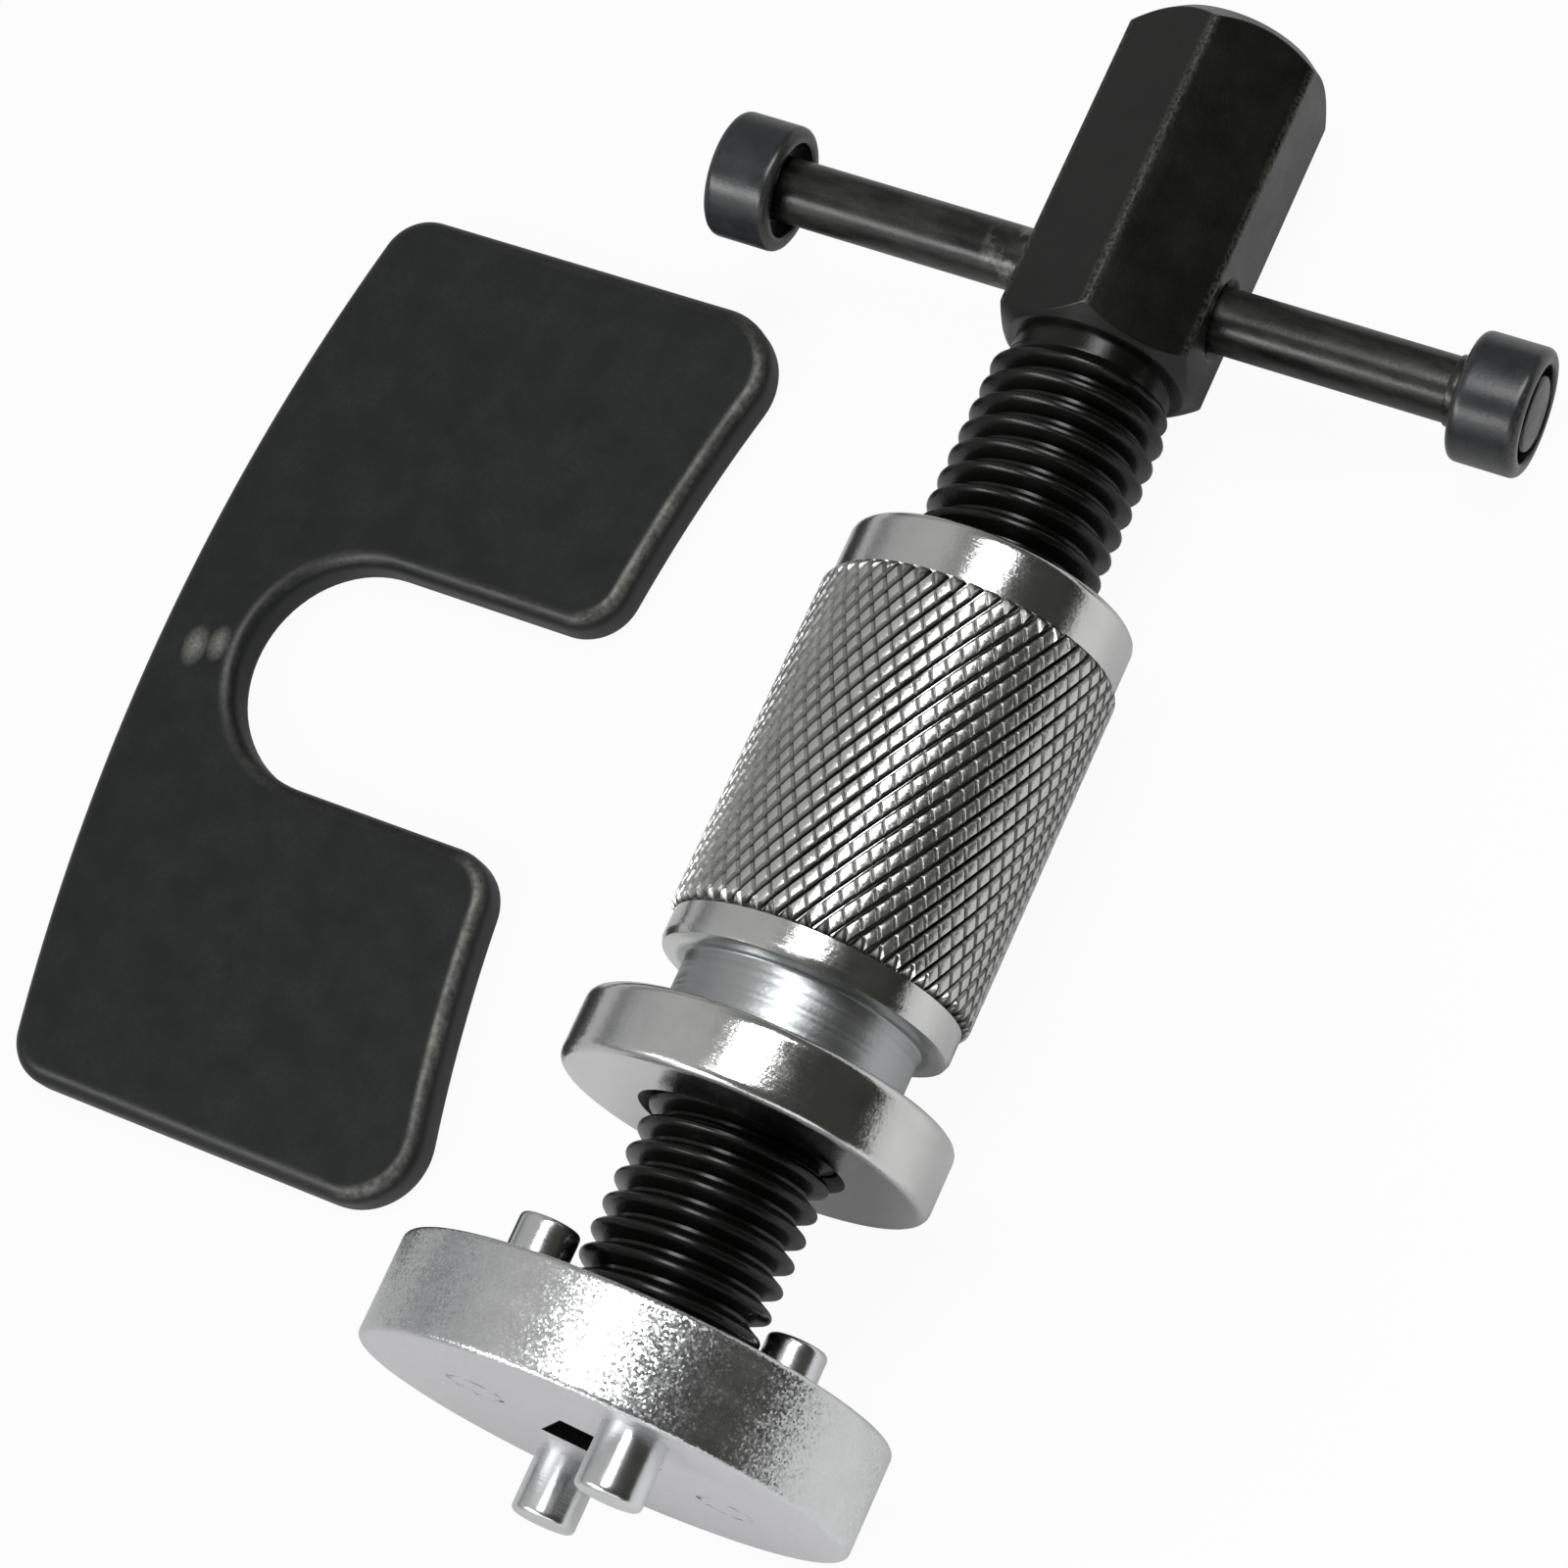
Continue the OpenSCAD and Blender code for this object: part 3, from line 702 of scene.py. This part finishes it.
def make_sleeve():
    flange, ring, mouth = FLANGE_EDGE + BORDER, RING_EDGE + BORDER, BORE_R + BORE_CHAMFER
    lines = []
    for middle in NECK_LINES:
        lines += [(NECK_R, middle - LINE_HALF), (NECK_R - LINE_DEEP, middle),
                  (NECK_R, middle + LINE_HALF)]
    sleeve = turned_on_lathe("sleeve_body", [
        (mouth, FLANGE_FOOT), (FLANGE_R - flange, FLANGE_FOOT), (FLANGE_R, FLANGE_FOOT),
        (FLANGE_R, FLANGE_FOOT + flange), (FLANGE_R, FLANGE_TOP - flange), (FLANGE_R, FLANGE_TOP),
        (FLANGE_R - flange, FLANGE_TOP), (NECK_R + 2 * BORDER, FLANGE_TOP), (NECK_R, FLANGE_TOP),
        *lines, (NECK_R, GROOVE_TOP), (RING_R, GROOVE_TOP), (RING_R, GROOVE_TOP + ring),
        (RING_R, GRIP_FOOT), (GRIP_ROOT_R, GRIP_FOOT + GRIP_STEP),
        (GRIP_ROOT_R, GRIP_TOP - GRIP_STEP), (RING_R, GRIP_TOP), (RING_R, SLEEVE_TOP - ring),
        (RING_R, SLEEVE_TOP), (RING_R - ring, SLEEVE_TOP), (mouth, SLEEVE_TOP),
        (BORE_R, SLEEVE_TOP - BORE_CHAMFER), (BORE_R, FLANGE_FOOT + BORE_CHAMFER),
        (mouth, FLANGE_FOOT)], 160)
    round_rings(sleeve, [(FLANGE_R, FLANGE_FOOT, FLANGE_EDGE, 4),
                         (FLANGE_R, FLANGE_TOP, FLANGE_EDGE, 4),
                         (RING_R, GROOVE_TOP, RING_EDGE, 2), (RING_R, SLEEVE_TOP, RING_EDGE, 3),
                         (NECK_R, FLANGE_TOP, 0.3, 3), (NECK_R, GROOVE_TOP, 0.3, 3)])
    return sleeve


KNURL_STARTS, KNURL_RISE, KNURL_CHAMFER = 52, 2.92, 0.4
# Levels of a diamond: height, and size along and across the deeper grooves, as shares of the whole
KNURL_LEVELS = ((0.0, 0.998, 0.985), (0.6, 0.99, 0.81), (0.95, 0.69, 0.58), (1.0, 0.46, 0.39))


def make_knurl():
    """One diamond, raised and repeated over a flat sheet that is then wrapped round the grip."""
    wide = 2 * math.pi * RING_R / KNURL_STARTS
    depth, sunk = GRIP_R - GRIP_ROOT_R, 0.08
    bpy.ops.object.select_all(action="DESELECT")
    bpy.ops.mesh.primitive_circle_add(vertices=4, radius=MM / 2, fill_type="NGON")
    knurl = named("sleeve_knurl")
    edit(knurl)
    bpy.ops.mesh.select_all(action="SELECT")
    bpy.ops.transform.resize(value=(wide, KNURL_RISE, 1))
    for low, high in zip(KNURL_LEVELS, KNURL_LEVELS[1:]):
        rise = (high[0] - low[0]) * (depth + sunk)
        bpy.ops.mesh.extrude_region_move(TRANSFORM_OT_translate={"value": (0, 0, rise * MM)})
    bpy.ops.mesh.select_all(action="SELECT")
    bpy.ops.mesh.normals_make_consistent(inside=False)
    done()
    for vertex in knurl.data.vertices:
        share = vertex.co.z / MM / (depth + sunk)
        level = min(KNURL_LEVELS, key=lambda level: abs(level[0] - share))
        size, skew = (level[1] + level[2]) / 2, (level[1] - level[2]) / 2
        x, y = vertex.co.x / wide, vertex.co.y / KNURL_RISE
        vertex.co.x, vertex.co.y = (size * x + skew * y) * wide, (size * y + skew * x) * KNURL_RISE
    rows = int((GRIP_TOP - GRIP_FOOT) / KNURL_RISE) + 2
    repeats = ((wide / 2, KNURL_RISE / 2, 2), (wide, 0, KNURL_STARTS), (0, KNURL_RISE, rows))
    for sideways, upward, count in repeats:
        apply_modifier(knurl, "ARRAY", use_relative_offset=False, use_constant_offset=True,
                       constant_offset_displace=(sideways * MM, upward * MM, 0), count=count)
    length = GRIP_TOP - GRIP_FOOT
    for height, keep_up in ((KNURL_RISE / 2, True), (KNURL_RISE / 2 + length, False)):
        edit(knurl)
        bpy.ops.mesh.select_all(action="SELECT")
        bpy.ops.mesh.bisect(plane_co=(0, height * MM, 0), plane_no=(0, 1, 0), use_fill=True,
                            clear_inner=keep_up, clear_outer=not keep_up)
        done()
    for vertex in knurl.data.vertices:
        angle = vertex.co.x / MM / RING_R
        along = vertex.co.y / MM - KNURL_RISE / 2
        limit = min(1.0, max(0.0, min(along, length - along) / KNURL_CHAMFER)) * depth + sunk
        radius = GRIP_ROOT_R - sunk + min(vertex.co.z / MM, limit)
        around = radius * math.cos(angle), radius * math.sin(angle)
        vertex.co = Vector((*around, GRIP_FOOT + along)) * MM
    return knurl


finished(placed(make_sleeve(), LAID), "sleeve", ["thrust_sleeve"], sleeve_bright)
finished(placed(make_knurl(), LAID), "sleeve", ["thrust_sleeve"], knurl_bright, 30)


# Adaptor

def make_disc():
    rim = DISC_EDGE + BORDER
    disc = turned_on_lathe("adaptor_plate", [
        (0, 0), (DISC_R - rim, 0), (DISC_R, 0), (DISC_R, rim), (DISC_R, DISC_T - rim),
        (DISC_R, DISC_T), (DISC_R - rim, DISC_T), (0, DISC_T)], 192)
    round_rings(disc, [(DISC_R, 0, DISC_EDGE, 5), (DISC_R, DISC_T, DISC_EDGE, 5)])
    bpy.ops.object.select_all(action="DESELECT")
    bpy.ops.mesh.primitive_cube_add(size=DRIVE_HOLE_S * MM)
    broach = named("square_broach")
    edit(broach)
    bpy.ops.mesh.select_all(action="SELECT")
    bpy.ops.transform.resize(value=(1, 1, 4))
    done()
    cut(disc, broach)
    for side in (-1, 1):
        ring = turned_on_lathe("pin_end_ring", [
            (PIN_SHANK_R - 0.06, -1), (PIN_SHANK_R + 0.06, -1), (PIN_SHANK_R, 0.1),
            (PIN_SHANK_R - 0.06, -1)], 48)
        ring.matrix_world = Matrix.Translation((0, side * UPPER_PIN_AT * MM, 0))
        cut(disc, ring)
    return disc


def make_pin(name):
    tip = PIN_EDGE + BORDER
    pin = turned_on_lathe(name, [
        (0, -0.02), (PIN_SHANK_R, -0.02), (PIN_R, -0.02), (PIN_R, PIN_OUT - tip), (PIN_R, PIN_OUT),
        (PIN_R - tip, PIN_OUT), (0, PIN_OUT)], 64)
    round_rings(pin, [(PIN_R, PIN_OUT, PIN_EDGE, 4)])
    return pin


finished(placed(make_disc(), TURNED), "adaptor", ["adaptor_disc"], disc_zinc)
# In the photograph the upper pins are a little slimmer than the lower ones
SLIMMER, STOUTER = Matrix.Diagonal((0.965, 0.965, 1, 1)), Matrix.Diagonal((1.035, 1.035, 1, 1))
UPSIDE_DOWN = Matrix.Rotation(math.pi, 4, "X")
PIN_PLACES = {
    "upper_pin_left": Matrix.Translation((0, -UPPER_PIN_AT * MM, DISC_T * MM)) @ SLIMMER,
    "upper_pin_right": Matrix.Translation((0, UPPER_PIN_AT * MM, DISC_T * MM)) @ SLIMMER,
    "lower_pin_front": Matrix.Translation((LOWER_PIN_AT * MM, 0, 0)) @ UPSIDE_DOWN @ STOUTER,
    "lower_pin_back": Matrix.Translation((-LOWER_PIN_AT * MM, 0, 0)) @ UPSIDE_DOWN @ STOUTER,
}
first_pin = make_pin("pin_pattern")
for node, place in PIN_PLACES.items():
    pin = placed(copied(first_pin, node + "_dressed"), TURNED @ place)
    finished(pin, "adaptor", [node], pin_bright)
bpy.data.objects.remove(first_pin)


# Reaction plate

def make_plate():
    plate = copied(frame["nodes"]["reaction_plate"], "plate_dressed")
    plate.parent = None
    # The copy drops the marks that the frame puts on its own pieces
    for key in list(plate.keys()):
        del plate[key]
    edit(plate)
    bpy.ops.mesh.select_all(action="SELECT")
    bpy.ops.mesh.remove_doubles(threshold=0.01 * MM)
    bpy.ops.mesh.dissolve_limited(angle_limit=math.radians(0.2))
    pick_faces(plate, lambda face: face.normal.z < 0.9)
    bpy.ops.mesh.delete(type="FACE")
    bpy.ops.mesh.select_all(action="SELECT")
    bpy.ops.transform.translate(value=(0, 0, -PLATE_EDGE * MM))
    wall = (0, 0, (2 * PLATE_EDGE - PLATE_T) * MM)
    bpy.ops.mesh.extrude_region_move(TRANSFORM_OT_translate={"value": wall})
    bpy.ops.mesh.select_all(action="SELECT")
    bpy.ops.mesh.normals_make_consistent(inside=False)
    for side in (1, -1):
        pick_faces(plate, lambda face: face.normal.z * side > 0.9)
        for step in range(PLATE_EDGE_STEPS):
            low, high = (math.pi / 2 * count / PLATE_EDGE_STEPS for count in (step, step + 1))
            bpy.ops.mesh.inset(thickness=PLATE_EDGE * (math.cos(low) - math.cos(high)) * MM,
                               depth=PLATE_EDGE * (math.sin(high) - math.sin(low)) * MM)
        bpy.ops.mesh.inset(thickness=BORDER * MM)
    done()
    return plate


finished(make_plate(), "plate", ["reaction_plate"], plate_black, 30)


# Studio

# Share of white in the floor that the camera sees and that metal mirrors; the rest keeps the shadow
WHITE_SEEN, WHITE_MIRRORED = 0.95, 0.1


def make_floor():
    """A floor whose tone, painted darker on the left as shade and paler on the right, lies under the
    white.
    """
    bpy.ops.object.select_all(action="DESELECT")
    bpy.ops.mesh.primitive_plane_add(size=6.0, location=(0, 0, -0.0003))
    floor = named("studio_floor")
    paint = bpy.data.materials.new("floor_white")
    paint.use_nodes = True
    tree = paint.node_tree
    tree.nodes.clear()
    where = put(tree, "ShaderNodeTexCoord").outputs["Object"]
    across = put(tree, "ShaderNodeSeparateXYZ", {"Vector": where}).outputs["X"]
    # Painted shade: the floor's tone runs from dark on the left to pale on the right
    tone = blended(tree, ramp(tree, across, -0.06, 0.08),
                   (0.46, 0.46, 0.46, 1), (0.76, 0.76, 0.76, 1))
    matt = put(tree, "ShaderNodeBsdfDiffuse", {"Color": tone})
    white = put(tree, "ShaderNodeEmission", {"Color": (1, 1, 1, 1), "Strength": 1.0})
    rays = put(tree, "ShaderNodeLightPath").outputs
    mirrored = maths(tree, "MAXIMUM", rays["Is Glossy Ray"], rays["Is Transmission Ray"])
    share = maths(tree, "MAXIMUM", maths(tree, "MULTIPLY", rays["Is Camera Ray"], WHITE_SEEN),
                  maths(tree, "MULTIPLY", mirrored, WHITE_MIRRORED))
    mixed = put(tree, "ShaderNodeMixShader", {0: share, 1: matt.outputs[0], 2: white.outputs[0]})
    put(tree, "ShaderNodeOutputMaterial", {"Surface": mixed.outputs[0]})
    floor.data.materials.append(paint)


def make_world():
    """White for the camera, and for the object a room that is light on the left, dark on the right."""
    world = bpy.data.worlds.new("studio")
    world.use_nodes = True
    tree = world.node_tree
    tree.nodes.clear()
    way = put(tree, "ShaderNodeTexCoord").outputs["Generated"]
    right, _, upward = put(tree, "ShaderNodeSeparateXYZ", {"Vector": way}).outputs
    shade = put(tree, "ShaderNodeValToRGB", {"Fac": ramp(tree, right, -1.0, 1.0)})
    stops = shade.color_ramp.elements
    stops[0].position, stops[0].color = 0.0, (0.42, 0.42, 0.43, 1)
    stops[1].position, stops[1].color = 1.0, (0.045, 0.044, 0.036, 1)
    for position, level in ((0.15, 0.48), (0.32, 0.46), (0.43, 0.22), (0.68, 0.1), (0.78, 0.05)):
        stops.new(position).color = (level, level, level * 0.97, 1)
    seen = put(tree, "ShaderNodeLightPath").outputs["Is Camera Ray"]
    colour = blended(tree, seen, shade.outputs["Color"], (1, 1, 1, 1))
    horizon = ramp(tree, upward, 0.0, 0.3, 0.45, 1.0)
    strength = maths(tree, "MAXIMUM", horizon, seen)
    sky = put(tree, "ShaderNodeBackground", {"Color": colour, "Strength": strength})
    put(tree, "ShaderNodeOutputWorld", {"Surface": sky.outputs[0]})
    bpy.context.scene.world = world


def make_lamp(name, place, target, size, power):
    lamp = bpy.data.lights.new(name, "AREA")
    lamp.shape, lamp.size, lamp.size_y, lamp.energy = "RECTANGLE", size[0], size[1], power
    obj = bpy.data.objects.new(name, lamp)
    bpy.context.scene.collection.objects.link(obj)
    obj.location = place
    obj.rotation_euler = (Vector(target) - Vector(place)).to_track_quat("-Z", "Y").to_euler()


def make_camera():
    """The camera that a fit of the photograph gave, with its lens in the photograph's pixels."""
    half_picture, focal_length = 800, 4777
    lens = bpy.data.cameras.new("photo_camera")
    lens.sensor_width, lens.lens_unit = 36.0, "FOV"
    lens.angle = 2 * math.atan(half_picture / focal_length)
    lens.clip_start, lens.clip_end = 0.01, 20.0
    camera = bpy.data.objects.new("photo_camera", lens)
    bpy.context.scene.collection.objects.link(camera)
    right, upward = Vector((0.87478, 0.37841, -0.30260)), Vector((-0.27941, 0.90421, 0.32300))
    back = right.cross(upward)
    stand = tool_base + Vector((159.31 * MM, -22.34 * MM, 0))
    stand.z = 404.10 * MM
    camera.matrix_world = frame_at(stand, right, upward, back)
    bpy.context.scene.camera = camera


make_floor()
make_world()
make_lamp("overhead_softbox", (0.115, 0.19, 0.62), (0.03, 0.03, 0.0), (0.175, 0.54), 2.45)
make_lamp("front_fill", (0.05, -0.55, 0.20), (0.02, -0.08, 0.03), (0.70, 0.26), 0.6)
make_lamp("side_window", (-0.24, -0.43, 0.45), (0.02, 0.05, 0.02), (0.46, 0.16), 1.9)
make_camera()
bpy.context.scene.view_settings.view_transform = "Standard"
